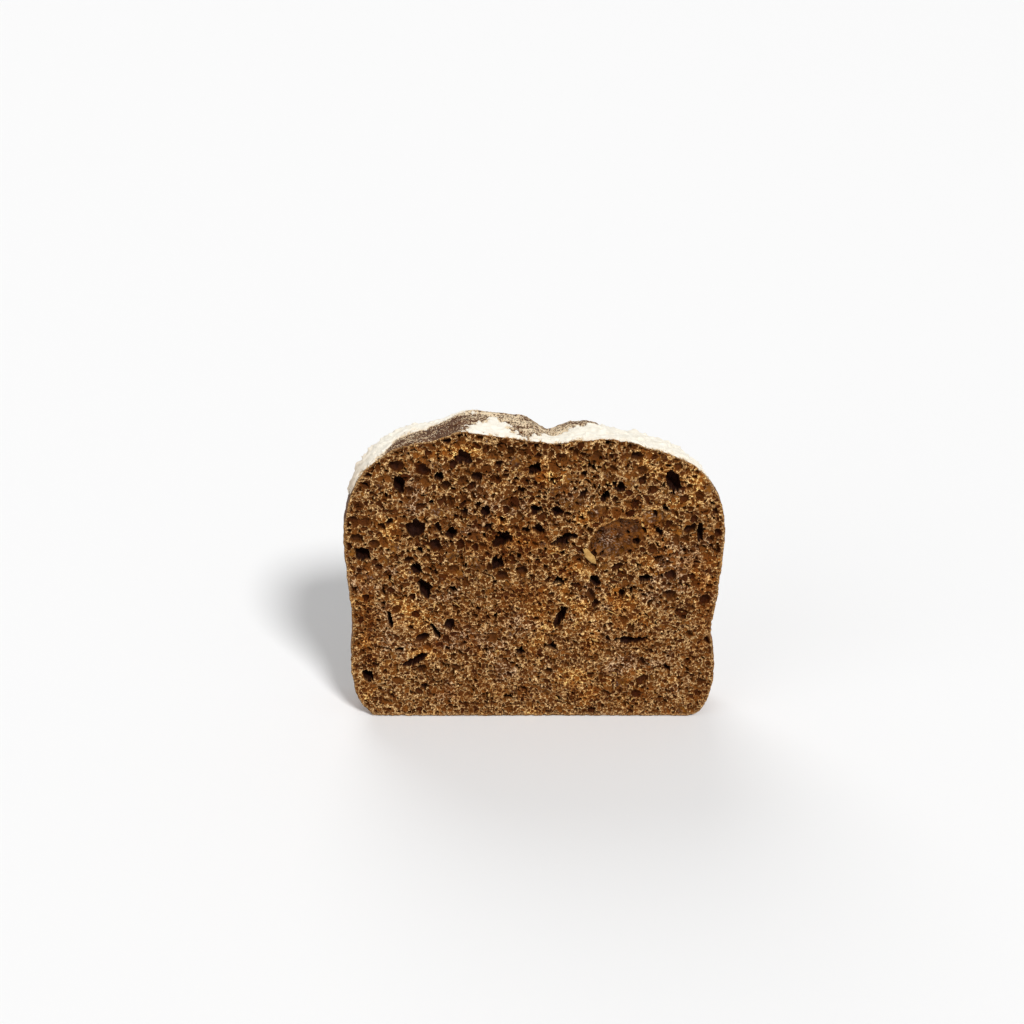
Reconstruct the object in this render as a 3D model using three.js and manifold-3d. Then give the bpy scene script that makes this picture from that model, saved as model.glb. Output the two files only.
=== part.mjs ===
// A thick slice of a dark wheat loaf baked in a tin, standing on its bottom crust.
// Millimetres, +Z up. The origin is the middle of the footprint. The cut face that shows
// looks along -Y, and the loaf ran along Y. The slice is one solid: its crust band is lofted
// between the outlines of its two cuts, and the larger pores of the crumb open on both cuts.
import * as THREE from "three";
import { mergeVertices } from "three/addons/utils/BufferGeometryUtils.js";
import Module from "manifold-3d";

// ---- driving dimensions ----
const THICKNESS = 17; // between the two cuts
const WALL = 2.2; // crust and dense crumb that no pore opens through
const LOBE_DROP = 3.4; // how much lower the right lobe is at the back cut
const CREASE_DEPTH = 3.2; // of the crease between the two lobes, at the back cut
const CREASE_AT = 4.5; // its x
const CREASE_WIDTH = 4.2;
const DIP_DEPTH = 1.3; // of a shallow dip in the right lobe, at the back cut
const DIP_AT = 23; // its x
const DIP_WIDTH = 4.5;
const SHOULDER_DROP = 1.6; // how much lower the left lobe's outer side is at the back cut
const LEFT_DRAWN_IN = 0.9; // how far the left shoulder draws in towards the back cut
const RIGHT_DRAWN_IN = 1.7;
const SHEAR = 0.6; // how far the back cut's outline lies to the left of the front one's
const MIDDLE_Z = 42; // the height that the crust's lumps point away from
const SWELL = 0.35; // how far the crust stands proud between the cuts
const CRUST_RELIEF = 0.3; // lumps of the crust, to each side

const ARC_STEPS = 5; // outline samples between two of its points
const SECTIONS = 7; // outlines from cut to cut

// The outline of the front cut as [x, z], counter-clockwise seen from the front: flat base,
// corners of the tin, a slight waist, the widest place at two thirds of the height, round
// shoulders and a top of two lobes.
const OUTLINE = [
  [0, 0],
  [36, 0],
  [45, 0.2],
  [49.4, 3.6],
  [51.5, 12],
  [51.3, 22],
  [50.2, 30],
  [51.6, 42],
  [52.5, 56],
  [51.6, 66.5],
  [48.6, 74],
  [43.3, 79.9],
  [36.5, 83.5],
  [29, 85.8],
  [21, 88],
  [12, 87.5],
  [5, 86.7],
  [-4, 88.1],
  [-12, 88.9],
  [-19.5, 90],
  [-27, 87.5],
  [-36, 85.4],
  [-43.4, 81],
  [-49, 73.5],
  [-51.9, 63],
  [-52.5, 52],
  [-51.5, 40],
  [-51.2, 31],
  [-52, 19],
  [-51, 8],
  [-47.4, 1.6],
  [-41, 0],
];

// The holes that catch the eye on the front cut, each an ellipse before it is turned:
// [x, z of its middle, half its size along x, half its size along z, turn in degrees, depth].
const FRONT_HOLES = [
  [29.3, 55.6, 8.2, 4.6, 22, 2.2],
  [-8.7, 57.6, 2.9, 1.5, 38, 4.5],
  [8.1, 57.7, 3.3, 1.3, 28, 4],
  [-32.7, 60.6, 2.5, 2.3, 0, 3],
  [-36.7, 74, 1.4, 2.4, 8, 4],
  [37.6, 75.2, 1.9, 3, 20, 4.2],
  [-22.8, 59.3, 1.2, 1.7, -10, 4.2],
  [19.2, 70.7, 1.1, 1.9, -28, 3.8],
  [-47.4, 53, 1.8, 1.9, 40, 4],
  [0.1, 79.1, 1.7, 1.3, 0, 3.8],
  [0.6, 66.6, 1.6, 1.3, 0, 3.6],
  [-19.3, 82.3, 2.2, 1.6, 10, 2.6],
  [23.2, 73.3, 1.4, 1.4, 0, 3.2],
  [-25.7, 76.6, 1.2, 1, 0, 3.6],
  [-10.3, 50.4, 1.6, 1.7, 0, 3.4],
  [-30.5, 42, 1.5, 2.9, 14, 4],
  [7.6, 33, 1.1, 3.4, -24, 4.6],
  [6.9, 44.6, 1.4, 1.2, 0, 3.4],
  [16.9, 44.6, 1.7, 1.1, -35, 3.6],
  [31.3, 45.3, 1.6, 1.1, 0, 3.6],
  [-27.8, 28.5, 0.8, 2.6, 22, 4],
  [-33.5, 18.8, 4, 1.1, 28, 3.8],
  [-40.5, 32, 0.7, 2.6, 4, 3.6],
  [-47.5, 13.4, 1.3, 1.9, 30, 3.6],
  [-32.7, 48.4, 1.8, 1.3, -40, 3.4],
  [45.5, 59.6, 1, 2.6, 0, 2.8],
  [-3.9, 21.6, 1.5, 0.9, -12, 3.4],
  [27.5, 25.6, 4.2, 0.9, 4, 2.4],
  [-13.4, 66.3, 1.1, 1.6, -12, 2.6],
  [6.4, 66.4, 1.3, 1.2, 0, 2.8],
];
const BIG_PORES_BEHIND = 24;
const BIG_HALF = [1.6, 3.2]; // least and most half-length of a big pore
const SMALL_PORES = 95; // on each cut
const SMALL_HALF = [0.7, 1.7];
const FINE_PORE = 1.5; // half-length from which a pore has finer facets
const PORE_GAP = 0.5; // crumb between two pores
const SEED = 20417;

// ---- helpers ----
function seeded(seed) {
  let state = seed >>> 0;
  return () => {
    state = (state + 0x6d2b79f5) >>> 0;
    let t = state;
    t = Math.imul(t ^ (t >>> 15), t | 1);
    t ^= t + Math.imul(t ^ (t >>> 7), t | 61);
    return ((t ^ (t >>> 14)) >>> 0) / 4294967296;
  };
}

const mix = (a, b, share) => a + (b - a) * share;

// The outline of the front cut as a smooth closed curve, stepped between its points.
function frontOutline() {
  const knots = OUTLINE.map(([x, z]) => new THREE.Vector3(x, 0, z));
  const curve = new THREE.CatmullRomCurve3(knots, true, "catmullrom", 0.5);
  const count = knots.length * ARC_STEPS;
  return Array.from({ length: count }, (_, i) => {
    const p = curve.getPoint(i / count);
    return [p.x, Math.max(p.z, 0)];
  });
}

// Soft lumps of the crust, the same wherever they are asked for.
function lumps(x, y, z) {
  const slow = Math.sin(0.31 * x + 0.23 * y + 1.3) * Math.cos(0.27 * z - 0.19 * y + 0.6);
  const quick = Math.sin(0.74 * x - 0.41 * y) * Math.sin(0.66 * z + 0.52 * y + 2.1);
  return 0.6 * slow + 0.4 * quick;
}

// A point of the crust: back is 0 at the front cut and 1 at the back cut.
function crustPoint([x, z], back) {
  const { smoothstep } = THREE.MathUtils;
  const dent = (at, width) => Math.exp(-(((x - at) / width) ** 2));
  const lower =
    LOBE_DROP * smoothstep(x, 4, 22) +
    SHOULDER_DROP * smoothstep(-x, 12, 24) +
    CREASE_DEPTH * dent(CREASE_AT, CREASE_WIDTH) +
    DIP_DEPTH * dent(DIP_AT, DIP_WIDTH);
  const drop = smoothstep(z, 62, 80) * lower * back;
  const left = LEFT_DRAWN_IN * smoothstep(-x, 30, 48);
  const right = RIGHT_DRAWN_IN * smoothstep(x, 36, 46);
  const offFloor = smoothstep(z, 0.5, 6);
  const aside = (smoothstep(z, 58, 76) * (left - right) - SHEAR * offFloor) * back;
  const y = THICKNESS * (back - 0.5);
  const out = SWELL * Math.sin(Math.PI * back) + CRUST_RELIEF * lumps(x, y, z);
  const away = new THREE.Vector2(x, z - MIDDLE_Z).normalize().multiplyScalar(out * offFloor);
  const lift = z > 0 ? z - drop + away.y : 0;
  return [x + away.x + aside, y, Math.max(lift, 0)];
}

// ---- the loaf's slice before its pores ----
function sliceGeometry(outline) {
  const count = outline.length;
  const places = [];
  const faces = [];
  for (let s = 0; s < SECTIONS; s++)
    for (const point of outline) places.push(...crustPoint(point, s / (SECTIONS - 1)));
  for (let s = 0; s < SECTIONS - 1; s++)
    for (let i = 0; i < count; i++) {
      const a = s * count + i;
      const b = s * count + ((i + 1) % count);
      faces.push(a, a + count, b, b, a + count, b + count);
    }
  const flat = (section) =>
    outline.map((_, i) => {
      const at = 3 * (section * count + i);
      return new THREE.Vector2(places[at], places[at + 2]);
    });
  const last = (SECTIONS - 1) * count;
  for (const [a, b, c] of THREE.ShapeUtils.triangulateShape(flat(0), []))
    faces.push(a, b, c);
  for (const [a, b, c] of THREE.ShapeUtils.triangulateShape(flat(SECTIONS - 1), []))
    faces.push(last + a, last + c, last + b);
  return new THREE.BufferGeometry()
    .setAttribute("position", new THREE.Float32BufferAttribute(places, 3))
    .setIndex(faces);
}

// ---- pores ----
// How far a place on a cut is inside the outline; negative outside.
function insideBy(x, z, polygon) {
  let nearest = Infinity;
  let inside = false;
  polygon.forEach(([x1, z1], i) => {
    const [x2, z2] = polygon[(i + 1) % polygon.length];
    if (z1 > z !== z2 > z && x < x1 + ((z - z1) / (z2 - z1)) * (x2 - x1)) inside = !inside;
    const along = THREE.MathUtils.clamp(
      ((x - x1) * (x2 - x1) + (z - z1) * (z2 - z1)) / ((x2 - x1) ** 2 + (z2 - z1) ** 2),
      0,
      1,
    );
    nearest = Math.min(nearest, Math.hypot(x - mix(x1, x2, along), z - mix(z1, z2, along)));
  });
  return inside ? nearest : -nearest;
}

// Random pores that keep clear of the crust and of the pores that are there already.
function scatter(pores, wanted, [least, most], polygon, random) {
  for (let tries = 0, made = 0; made < wanted && tries < wanted * 60; tries++) {
    const x = mix(-51, 51, random());
    const z = mix(2, 88, random());
    const half = mix(least, most, random() ** 2);
    const slim = mix(0.55, 1, random());
    const turn = mix(-90, 90, random());
    const depth = half * mix(1.2, 1.9, random());
    if (insideBy(x, z, polygon) < half + WALL) continue;
    const meets = ([px, pz, halfX, halfZ]) =>
      Math.hypot(px - x, pz - z) < Math.max(halfX, halfZ) + half + PORE_GAP;
    if (pores.some(meets)) continue;
    pores.push([x, z, half, half * slim, turn, depth]);
    made++;
  }
  return pores;
}

// An ellipsoid whose middle lies on the cut at y, so that half of it is sunk in the crumb.
function poreGeometry([x, z, halfX, halfZ, turn, depth], y) {
  const detail = Math.max(halfX, halfZ) > FINE_PORE ? 1 : 0;
  return new THREE.IcosahedronGeometry(1, detail)
    .scale(halfX, depth, halfZ)
    .rotateY(-THREE.MathUtils.degToRad(turn))
    .translate(x, y, z);
}

// ---- booleans ----
const wasm = await Module();
wasm.setup();

function solid(geometry) {
  const bare = geometry.clone();
  bare.deleteAttribute("normal");
  bare.deleteAttribute("uv");
  const merged = mergeVertices(bare, 1e-4);
  return new wasm.Manifold(
    new wasm.Mesh({
      numProp: 3,
      vertProperties: merged.attributes.position.array,
      triVerts: new Uint32Array(merged.index.array),
    }),
  );
}

function largest(whole) {
  return whole.decompose().reduce((a, b) => (a.volume() > b.volume() ? a : b));
}

function geometryOf(whole) {
  const { numVert, numProp, vertProperties, triVerts } = whole.getMesh();
  const places = new Float32Array(numVert * 3);
  for (let i = 0; i < numVert; i++)
    places.set(vertProperties.subarray(i * numProp, i * numProp + 3), i * 3);
  return new THREE.BufferGeometry()
    .setAttribute("position", new THREE.BufferAttribute(places, 3))
    .setIndex(new THREE.BufferAttribute(new Uint32Array(triVerts), 1));
}

// ---- the slice ----
const outline = frontOutline();
const backOutline = outline.map((point) => crustPoint(point, 1)).map(([x, , z]) => [x, z]);
const random = seeded(SEED);

const front = scatter([...FRONT_HOLES], SMALL_PORES, SMALL_HALF, outline, random);
const behind = scatter([], BIG_PORES_BEHIND, BIG_HALF, backOutline, random);
scatter(behind, SMALL_PORES, SMALL_HALF, backOutline, random);

let bread = solid(sliceGeometry(outline));
for (const pore of front) bread = bread.subtract(solid(poreGeometry(pore, -THICKNESS / 2)));
for (const pore of behind) bread = bread.subtract(solid(poreGeometry(pore, THICKNESS / 2)));

const geometry = geometryOf(largest(bread));
geometry.computeBoundingBox();
const { min, max } = geometry.boundingBox;
geometry.translate(-(min.x + max.x) / 2, -(min.y + max.y) / 2, -min.z);
geometry.computeVertexNormals();

const slice = new THREE.Mesh(
  geometry,
  new THREE.MeshStandardMaterial({ color: 0x7a5430, roughness: 0.9, metalness: 0 }),
);
slice.name = "bread_slice";

const part = new THREE.Group();
part.name = "sliced_bread";
part.add(slice);

export default part;
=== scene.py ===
import math
from itertools import product

import bpy
import numpy as np
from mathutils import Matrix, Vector


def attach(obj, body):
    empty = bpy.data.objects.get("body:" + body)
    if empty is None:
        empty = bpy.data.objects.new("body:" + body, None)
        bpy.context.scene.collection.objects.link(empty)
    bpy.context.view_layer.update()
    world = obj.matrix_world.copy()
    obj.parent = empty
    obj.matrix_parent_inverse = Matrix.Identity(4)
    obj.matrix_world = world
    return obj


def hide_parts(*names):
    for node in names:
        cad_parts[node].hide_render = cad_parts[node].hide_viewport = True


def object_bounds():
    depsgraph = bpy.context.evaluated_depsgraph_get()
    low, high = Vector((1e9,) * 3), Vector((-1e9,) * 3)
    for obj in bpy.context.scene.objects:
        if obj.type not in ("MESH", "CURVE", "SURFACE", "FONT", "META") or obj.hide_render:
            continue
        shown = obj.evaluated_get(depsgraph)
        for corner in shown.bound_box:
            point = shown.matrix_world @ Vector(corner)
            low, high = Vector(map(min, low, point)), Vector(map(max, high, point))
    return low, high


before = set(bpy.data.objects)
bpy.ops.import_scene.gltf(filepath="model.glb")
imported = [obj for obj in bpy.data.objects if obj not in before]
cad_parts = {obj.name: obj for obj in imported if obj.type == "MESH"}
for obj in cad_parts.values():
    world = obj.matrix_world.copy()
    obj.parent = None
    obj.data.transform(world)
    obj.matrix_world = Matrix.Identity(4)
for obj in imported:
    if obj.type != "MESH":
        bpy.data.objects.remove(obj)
CAD_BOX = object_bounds()

# ---- sizes, in millimetres ----
MM = 0.001
THICKNESS = 17.0
HALF = THICKNESS / 2
MIDDLE_Z = 42.0  # the height that the crust's lumps point away from
LOBE_DROP = 3.4  # how much lower the right lobe is at the back cut
CREASE_DEPTH = 3.2
CREASE_AT = 4.5
CREASE_WIDTH = 4.2
DIP_DEPTH = 1.3  # of a shallow dip in the right lobe, at the back cut
DIP_AT = 23
DIP_WIDTH = 4.5
SHOULDER_DROP = 1.6  # how much lower the left lobe's outer side is at the back cut
LEFT_DRAWN_IN = 0.9  # how far the left shoulder draws in towards the back cut
RIGHT_DRAWN_IN = 1.7
SHEAR = 0.6  # how far the back cut is moved to the left
SWELL = 0.35  # of the crust between the two cuts
CRUST_RELIEF = 0.3  # of the crust's slow lumps
LOBE_SWELL = 0.8  # of a low swelling of the right lobe near the back cut
LOBE_SWELL_AT = 16

CUT_STEP = 0.2  # grid of a cut's relief
CRUST_STEP = 0.25  # grid of the crust band
LAYER = 0.2  # step into the depth of the crumb
ABOVE = 6  # layers in front of the cut, for bubbles whose middle the knife took away
BELOW = 24  # layers behind it
WALL = 0.18  # thickness of the wall between two bubbles
GROWTH = 1.3  # how far bubbles push into each other, as a share of their size
OVERLAP = 0.12  # how far a new bubble may reach into one that is there, as a share of its size
HOLE_GROWTH = 1.15  # as GROWTH, for the large holes
SATELLITES = 4  # small bubbles at the edge of each large hole
TORN = 0.32  # how many of the walls between bubbles are torn away
TORN_AT_HOLES = 0.85  # how many of the walls of the large holes are
FILMS = 0.1  # how many bubbles are still closed by a thin film near the cut
# random bubbles, the largest first: least and greatest half size, how many are tried, how deep they go
BUBBLES = [
    (1.0, 1.6, 1000, 1.6), (0.7, 1.0, 6000, 1.6), (0.5, 0.7, 36000, 1.3), (0.38, 0.5, 130000, 1.0),
    (0.26, 0.38, 120000, 0.4),
]
BLOCK_RINGS = [(1.0, 0.9), (4.5, HALF - 0.2)]  # inset and depth of the crumb's hidden sides
CRUST_LIPS = [(0.2, 0.15), (0.6, 0.9)]  # inset and depth of the crust's edge inside each cut
TOP_BLISTERS = 260
TOP_PITS = 240
SIDE_PITS = 5200
HIDDEN = 0.995  # the corner of a map where hidden faces lie
SEED = 20417
FRONT_BOW = 301  # seeds of the knife's waver
BACK_BOW = 401

OUTLINE = [
    (0, 0), (36, 0), (45, 0.2), (49.4, 3.6), (51.5, 12), (51.3, 22), (50.2, 30), (51.6, 42),
    (52.5, 56), (51.6, 66.5), (48.6, 74), (43.3, 79.9), (36.5, 83.5), (29, 85.8), (21, 88),
    (12, 87.5), (5, 86.7), (-4, 88.1), (-12, 88.9), (-19.5, 90), (-27, 87.5), (-36, 85.4),
    (-43.4, 81), (-49, 73.5), (-51.9, 63), (-52.5, 52), (-51.5, 40), (-51.2, 31), (-52, 19),
    (-51, 8), (-47.4, 1.6), (-41, 0),
]

# large holes: x, z of the middle, half size along x and along z, turn in degrees, depth
FRONT_HOLES = [
    (-8.7, 57.6, 2.9, 1.5, 38, 4.5), (8.1, 57.7, 3.3, 1.3, 28, 4),
    (-32.7, 60.6, 2.5, 2.3, 0, 3), (-36.7, 74, 1.4, 2.4, 8, 4), (37.6, 75.2, 1.9, 3, 20, 4.2),
    (-22.8, 59.3, 1.2, 1.7, -10, 4.2), (19.2, 70.7, 1.1, 1.9, -28, 3.8),
    (-47.4, 53, 1.8, 1.9, 40, 4), (0.1, 79.1, 1.7, 1.3, 0, 3.8), (0.6, 66.6, 1.6, 1.3, 0, 3.6),
    (-19.3, 82.3, 2.2, 1.6, 10, 2.6), (23.2, 73.3, 1.4, 1.4, 0, 3.2), (-25.7, 76.6, 1.2, 1, 0, 3.6),
    (-10.3, 50.4, 1.6, 1.7, 0, 3.4), (-30.5, 42, 1.5, 2.9, 14, 4), (7.6, 33, 1.1, 3.4, -24, 4.6),
    (6.9, 44.6, 1.4, 1.2, 0, 3.4), (16.9, 44.6, 1.7, 1.1, -35, 3.6), (31.3, 45.3, 1.6, 1.1, 0, 3.6),
    (-27.8, 28.5, 0.8, 2.6, 22, 4), (-33.5, 18.8, 4, 1.1, 28, 3.8), (-40.5, 32, 0.7, 2.6, 4, 3.6),
    (-47.5, 13.4, 1.3, 1.9, 30, 3.6), (-32.7, 48.4, 1.8, 1.3, -40, 3.4), (45.5, 59.6, 1, 2.6, 0, 2.8),
    (-3.9, 21.6, 1.5, 0.9, -12, 3.4), (27.5, 25.6, 4.2, 0.9, 4, 2.4), (-13.4, 66.3, 1.1, 1.6, -12, 2.6),
    (6.4, 66.4, 1.3, 1.2, 0, 2.8), (-23.7, 87.2, 1.3, 0.8, 15, 2.2), (33.4, 64.6, 0.7, 1.5, 20, 2.6),
    (25.2, 60.8, 0.4, 0.8, -25, 3.4), (26, 58.9, 0.5, 0.5, 0, 3.4), (28.2, 56.6, 1, 0.8, 30, 3.4),
    (18.9, 53, 1.2, 0.4, 30, 3),
]
# wide shallow hollows whose bubbles are mostly closed by film
FRONT_POCKETS = [
    (23, 57.5, 8, 5.4, 30, 1.9), (32.6, 64, 3.2, 2.6, 0, 1.4), (17.3, 65.5, 3.2, 2.2, 30, 0.7),
]
BACK_POCKETS = [(-20, 62, 6, 4, -20, 1.0), (14, 48, 3.4, 2.4, 30, 0.9)]
# where the crumb's colour goes over to another one: x, z, half size along x and along z
TINTS = {
    "gold": [
        (4.4, 76.2, 5, 3), (13, 36, 3.5, 6), (16.6, 25, 3, 5), (27, 37.4, 5, 3.5), (-36.2, 36, 5, 6),
        (-30.6, 21, 7, 2.5), (43.6, 76, 4, 5), (12.2, 12.7, 6, 4), (-40, 60, 4, 5), (-20, 84, 8, 3),
    ],
    "grey": [(26.5, 16.8, 5.5, 5), (38, 49, 6, 11), (-21, 26.7, 9, 5), (-7, 68, 5, 3), (-33, 68, 4, 3)],
    "rust": [(24, 61, 11, 9), (-7, 57, 14, 7), (-47, 30, 3, 20), (-2, 40, 8, 5), (48, 40, 3, 14)],
}


# ---- small helpers ----
def smoothstep(value, low, high):
    """From 0 at low to 1 at high, level at both ends."""
    t = np.clip((value - low) / (high - low), 0, 1)
    return t * t * (3 - 2 * t)


def hashed(cells, seed):
    """Numbers from 0 to 1 that look random, one for each row of whole numbers."""
    mixed = np.full(cells.shape[:-1], seed * 2654435761 % 2**32, np.uint64)
    for axis, prime in zip(range(cells.shape[-1]), (73856093, 19349663, 83492791)):
        mixed ^= (cells[..., axis].astype(np.int64) & 0xFFFFFFFF).astype(np.uint64) * np.uint64(prime)
        mixed &= np.uint64(0xFFFFFFFF)
        mixed ^= mixed >> np.uint64(15)
        mixed = (mixed * np.uint64(2246822519)) & np.uint64(0xFFFFFFFF)
        mixed ^= mixed >> np.uint64(13)
    return mixed.astype(np.float64) / 2**32


def noise(places, wavelength, seed):
    """Smooth noise from -1 to 1 at places, an array whose last axis holds the coordinates."""
    scaled = places / wavelength
    cell = np.floor(scaled).astype(np.int64)
    share = scaled - cell
    share = share * share * (3 - 2 * share)
    total = 0
    for corner in product((0, 1), repeat=places.shape[-1]):
        weight = np.prod(np.where(np.array(corner, bool), share, 1 - share), -1)
        total = total + weight * hashed(cell + np.array(corner), seed)
    return 2 * total - 1


def layered(places, wavelength, seed, octaves=3):
    """Several octaves of noise, each half as wide and half as strong as the one before."""
    parts = [noise(places, wavelength / 2**i, seed + 7 * i) / 2**i for i in range(octaves)]
    return sum(parts) / (2 - 2 ** (1 - octaves))


def mesh_object(name, places, faces, smooth=True):
    """An object of quads or triangles from places in millimetres. The last corner of a triangle is -1."""
    mesh = bpy.data.meshes.new(name)
    mesh.vertices.add(len(places))
    mesh.vertices.foreach_set("co", (np.asarray(places) * MM).astype(np.float32).ravel())
    corners = np.asarray(faces).ravel()
    used = corners >= 0
    counts = used.reshape(len(faces), -1).sum(1)
    mesh.loops.add(int(used.sum()))
    mesh.loops.foreach_set("vertex_index", corners[used].astype(np.int32))
    mesh.polygons.add(len(faces))
    starts = np.concatenate([[0], np.cumsum(counts)[:-1]]).astype(np.int32)
    mesh.polygons.foreach_set("loop_start", starts)
    mesh.polygons.foreach_set("use_smooth", np.full(len(faces), smooth))
    mesh.update(calc_edges=True)
    mesh.validate()
    made = bpy.data.objects.new(name, mesh)
    bpy.context.scene.collection.objects.link(made)
    return made


def add_values(piece, **values):
    """One named number for each vertex, which the materials read."""
    for name, numbers in values.items():
        layer = piece.data.attributes.new(name, "FLOAT", "POINT")
        layer.data.foreach_set("value", np.asarray(numbers, np.float32))


def add_map(piece, flat):
    """The map that a bake uses, from a place on the map for each corner of each face."""
    layer = piece.data.uv_layers.new(name="OFBake")
    layer.data.foreach_set("uv", np.asarray(flat, np.float32).ravel())


def slant(degrees):
    """The cosine and the sine of an angle in degrees."""
    return math.cos(math.radians(degrees)), math.sin(math.radians(degrees))


def turned_by(degrees, offset):
    """The two parts of offset along axes that are turned by degrees."""
    c, s = slant(degrees)
    return c * offset[..., 0] + s * offset[..., 1], c * offset[..., 1] - s * offset[..., 0]


def window(along, low, high):
    """The part of an even grid axis from low to high."""
    step = along[1] - along[0]
    first = int(np.clip((low - along[0]) / step, 0, len(along)))
    last = int(np.clip((high - along[0]) / step + 2, 0, len(along)))
    return slice(first, last)


def quads_around(quads):
    """How many of the kept quads touch each grid point, from 0 to 4."""
    padded = np.pad(quads, 1).astype(int)
    return padded[:-1, :-1] + padded[1:, :-1] + padded[:-1, 1:] + padded[1:, 1:]


def numbered(used):
    """A number for each grid point in use, and -1 for the others."""
    index = np.full(used.shape, -1)
    index[used] = np.arange(used.sum())
    return index


def border_edges(quads, index):
    """The edges round the kept quads of a grid, as pairs of numbers that run one way round."""
    padded = np.pad(quads, 1)
    below, above = padded[:-1, 1:-1], padded[1:, 1:-1]
    before, after = padded[1:-1, :-1], padded[1:-1, 1:]
    ends = []
    for edges, first, last in (
        (~below & above, (0, 1), (0, 0)),
        (below & ~above, (0, 0), (0, 1)),
        (~before & after, (0, 0), (1, 0)),
        (before & ~after, (1, 0), (0, 0)),
    ):
        j, i = np.nonzero(edges)
        ends.append(np.stack([index[j + first[0], i + first[1]], index[j + last[0], i + last[1]]], -1))
    return np.concatenate(ends)


# ---- the loaf's form, as in the solid ----
def smooth_outline(steps):
    """A smooth curve through the outline's points, with steps places for each of them."""
    knots = np.array(OUTLINE, float)
    before, after, beyond = np.roll(knots, 1, 0), np.roll(knots, -1, 0), np.roll(knots, -2, 0)
    t = (np.arange(steps) / steps)[None, :, None]
    start, end = knots[:, None], after[:, None]
    out, into = 0.5 * (after - before)[:, None], 0.5 * (beyond - knots)[:, None]
    curve = (2 * t**3 - 3 * t**2 + 1) * start + (t**3 - 2 * t**2 + t) * out
    curve = curve + (3 * t**2 - 2 * t**3) * end + (t**3 - t**2) * into
    curve = curve.reshape(-1, 2)
    curve[:, 1] = np.maximum(curve[:, 1], 0)
    return curve


def even_outline(step):
    """The outline of the front cut at even steps."""
    fine = smooth_outline(60)
    closed = np.vstack([fine, fine[:1]])
    along = np.concatenate([[0], np.cumsum(np.hypot(*np.diff(closed, axis=0).T))])
    count = int(round(along[-1] / step))
    at = np.arange(count) / count * along[-1]
    return np.stack([np.interp(at, along, closed[:, i]) for i in (0, 1)], -1)


def soft_lumps(x, y, z):
    """Slow unevenness of the crust, from -1 to 1."""
    slow = np.sin(0.31 * x + 0.23 * y + 1.3) * np.cos(0.27 * z - 0.19 * y + 0.6)
    quick = np.sin(0.74 * x - 0.41 * y) * np.sin(0.66 * z + 0.52 * y + 2.1)
    return 0.6 * slow + 0.4 * quick


def crust_place(x, z, back):
    """Where a point of the front outline is on the crust. back is 0 at the front cut, 1 at the back."""
    lower = LOBE_DROP * smoothstep(x, 4, 22) + SHOULDER_DROP * smoothstep(-x, 12, 24)
    lower = lower + CREASE_DEPTH * np.exp(-(((x - CREASE_AT) / CREASE_WIDTH) ** 2))
    lower = lower + DIP_DEPTH * np.exp(-(((x - DIP_AT) / DIP_WIDTH) ** 2))
    drop = smoothstep(z, 62, 80) * lower * back
    drawn_in = LEFT_DRAWN_IN * smoothstep(-x, 30, 48) - RIGHT_DRAWN_IN * smoothstep(x, 36, 46)
    off_floor = smoothstep(z, 0.5, 6)
    aside = (smoothstep(z, 58, 76) * drawn_in - SHEAR * off_floor) * back
    y = THICKNESS * (back - 0.5)
    out = SWELL * np.sin(np.pi * back) + CRUST_RELIEF * soft_lumps(x, y, z)
    reach = np.maximum(np.hypot(x, z - MIDDLE_Z), 1e-6)
    lifted = np.where(z > 0, z - drop + (z - MIDDLE_Z) / reach * out * off_floor, 0)
    return np.stack([x + x / reach * out * off_floor + aside, y + 0 * x, np.maximum(lifted, 0)], -1)


def outward(places):
    """The way out of the slice, in the plane of the cut, at each point of closed rings of places."""
    along = np.roll(places, -1, -2) - np.roll(places, 1, -2)
    out = np.stack([along[..., 2], 0 * along[..., 0], -along[..., 0]], -1)
    return out / np.maximum(np.linalg.norm(out, axis=-1, keepdims=True), 1e-9)


_plain = crust_place(*np.moveaxis(smooth_outline(5), -1, 0)[:, :, None], np.linspace(0, 1, 7)[None])
SHIFT_X = CAD_BOX[0].x / MM - _plain[..., 0].min()  # the solid's frame is centred on its box


# ---- the crust band ----
def stamped(shape, count, draw, profile, random):
    """Domes or bowls at random places of a field whose columns run on round the slice."""
    field = np.zeros(shape)
    tall, wide = THICKNESS / (shape[0] - 1), CRUST_STEP
    for _ in range(count):
        row, column = random.uniform(0, THICKNESS) / tall, random.uniform(0, shape[1] * wide) / wide
        radius, height = draw()
        rows = np.arange(max(int(row - radius / tall), 0), min(int(row + radius / tall) + 2, shape[0]))
        columns = np.arange(int(column - radius / wide), int(column + radius / wide) + 2)
        away = np.hypot((rows[:, None] - row) * tall, (columns[None] - column) * wide) / radius
        field[rows[:, None], columns[None] % shape[1]] += height * profile(away) * (away < 1)
    return field


def crust_marks(shape, aloft, random):
    """The blisters of the top, and the pits of the top and the sides."""

    def side_pit():
        radius = 0.22 + 0.5 * random.random() ** 2.5
        return radius, radius * random.uniform(0.5, 1.0)

    bowl = lambda away: np.sqrt(np.maximum(1 - away**2, 0))
    blister = lambda: (random.uniform(0.5, 1.6), random.uniform(0.06, 0.22))
    top_pit = lambda: (random.uniform(0.25, 0.75), random.uniform(0.2, 0.55))
    blisters = stamped(shape, TOP_BLISTERS, blister, lambda away: (1 - away**2) ** 2, random)
    top_pits = stamped(shape, TOP_PITS, top_pit, bowl, random)
    side_pits = stamped(shape, SIDE_PITS, side_pit, bowl, random)
    return blisters, np.minimum(side_pits, 0.7) * (1 - aloft) + np.minimum(top_pits, 0.6) * aloft


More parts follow.
